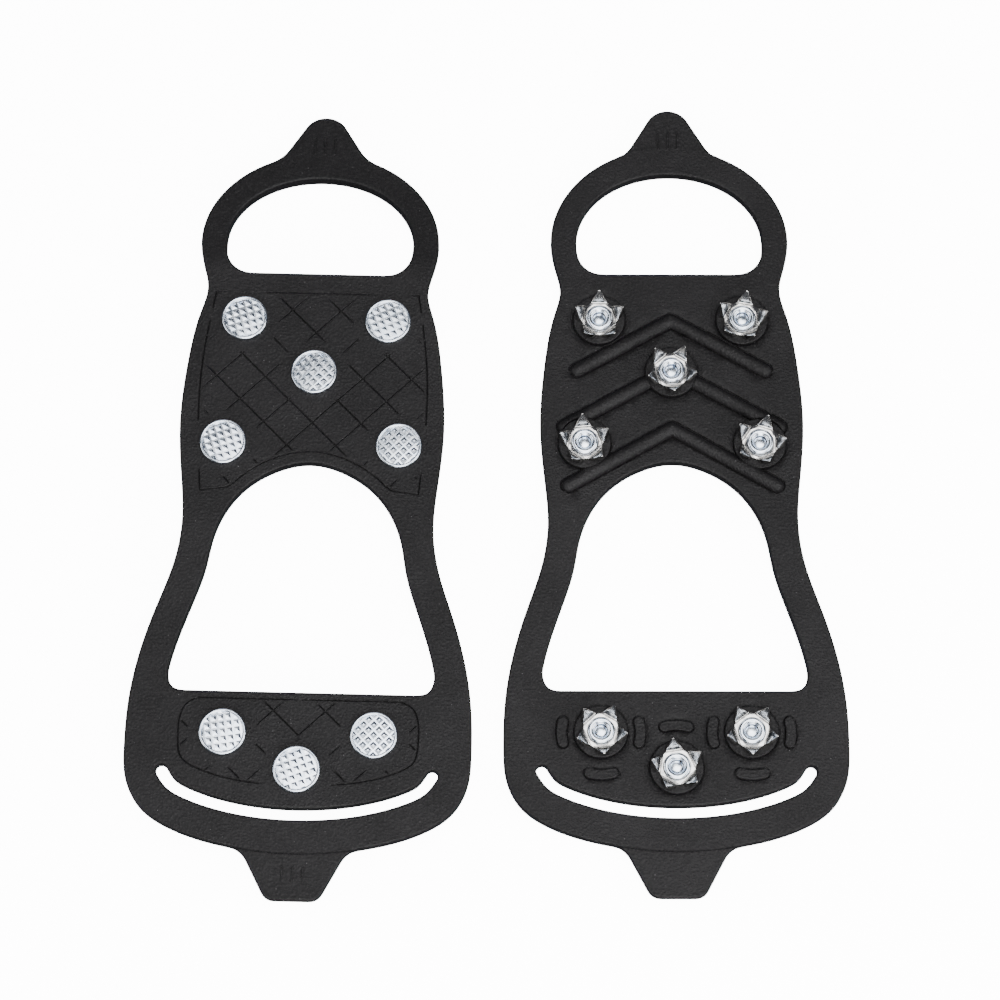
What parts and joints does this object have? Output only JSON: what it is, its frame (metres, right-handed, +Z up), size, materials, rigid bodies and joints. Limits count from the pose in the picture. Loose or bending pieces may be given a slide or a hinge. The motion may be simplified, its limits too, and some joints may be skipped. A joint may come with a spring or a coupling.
{
  "type": "shoe ice cleats",
  "caption": "Pair of slip-on rubber shoe ice cleats with knurled rivet heads on the shoe side and five-toothed steel star studs on the ground side.",
  "frame": {"origin": "on the ground, under the middle of the box around the pair as it lies", "axes": "+Y along the cleats towards the heel tabs, +X across the pair towards the cleat that lies ground side up, +Z up"},
  "size_m": [0.1836, 0.2154, 0.0101],
  "materials": {
    "rubber": "charcoal black moulded rubber with a fine satin grain",
    "rivet_steel": "bright zinc-plated steel",
    "crown_steel": "bright plated stamped steel"
  },
  "bodies": {
    "left_heel": {"left_heel_pad": "rubber", "left_rivet_1": "rivet_steel", "left_star_1": "crown_steel", "left_rivet_2": "rivet_steel", "left_star_2": "crown_steel", "left_rivet_3": "rivet_steel", "left_star_3": "crown_steel", "left_rivet_4": "rivet_steel", "left_star_4": "crown_steel", "left_rivet_5": "rivet_steel", "left_star_5": "crown_steel"},
    "left_heel_loop_body": {"left_heel_loop": "rubber"},
    "left_forefoot": {"left_forefoot_pad": "rubber", "left_rivet_6": "rivet_steel", "left_star_6": "crown_steel", "left_rivet_7": "rivet_steel", "left_star_7": "crown_steel", "left_rivet_8": "rivet_steel", "left_star_8": "crown_steel"},
    "left_toe_strap_body": {"left_toe_strap": "rubber"},
    "right_heel": {"right_heel_pad": "rubber", "right_rivet_1": "rivet_steel", "right_star_1": "crown_steel", "right_rivet_2": "rivet_steel", "right_star_2": "crown_steel", "right_rivet_3": "rivet_steel", "right_star_3": "crown_steel", "right_rivet_4": "rivet_steel", "right_star_4": "crown_steel", "right_rivet_5": "rivet_steel", "right_star_5": "crown_steel"},
    "right_heel_loop_body": {"right_heel_loop": "rubber"},
    "right_forefoot": {"right_forefoot_pad": "rubber", "right_rivet_6": "rivet_steel", "right_star_6": "crown_steel", "right_rivet_7": "rivet_steel", "right_star_7": "crown_steel", "right_rivet_8": "rivet_steel", "right_star_8": "crown_steel"},
    "right_toe_strap_body": {"right_toe_strap": "rubber"}
  },
  "joints": [
    {"name": "left_heel_loop_fold", "type": "hinge", "parent": "left_heel", "child": "left_heel_loop_body", "pos_m": [-0.04455, 0.06129, 0.00695], "axis": [0.9997, -0.0253, 0], "range_deg": [0, 100], "stiffness_Nm_per_rad": 0.02},
    {"name": "left_arch_flex", "type": "hinge", "parent": "left_heel", "child": "left_forefoot", "pos_m": [-0.04671, -0.02428, 0.00695], "axis": [-0.9997, 0.0253, 0], "range_deg": [0, 90], "stiffness_Nm_per_rad": 0.006},
    {"name": "left_toe_strap_fold", "type": "hinge", "parent": "left_forefoot", "child": "left_toe_strap_body", "pos_m": [-0.04803, -0.07627, 0.00695], "axis": [-0.9997, 0.0253, 0], "range_deg": [0, 100], "stiffness_Nm_per_rad": 0.02},
    {"name": "right_heel_loop_fold", "type": "hinge", "parent": "right_heel", "child": "right_heel_loop_body", "pos_m": [0.04808, 0.06269, 0.00315], "axis": [1, -0.0017, 0], "range_deg": [0, 100], "stiffness_Nm_per_rad": 0.02},
    {"name": "right_arch_flex", "type": "hinge", "parent": "right_heel", "child": "right_forefoot", "pos_m": [0.04793, -0.02291, 0.00315], "axis": [-1, 0.0017, 0], "range_deg": [0, 90], "stiffness_Nm_per_rad": 0.006},
    {"name": "right_toe_strap_fold", "type": "hinge", "parent": "right_forefoot", "child": "right_toe_strap_body", "pos_m": [0.04784, -0.07491, 0.00315], "axis": [-1, 0.0017, 0], "range_deg": [0, 100], "stiffness_Nm_per_rad": 0.02},
    {"name": "right_cleat_lift", "type": "slide", "parent": "left_heel", "child": "right_heel", "axis": [0, 0, 1], "range_m": [0, 0.06]}
  ]
}
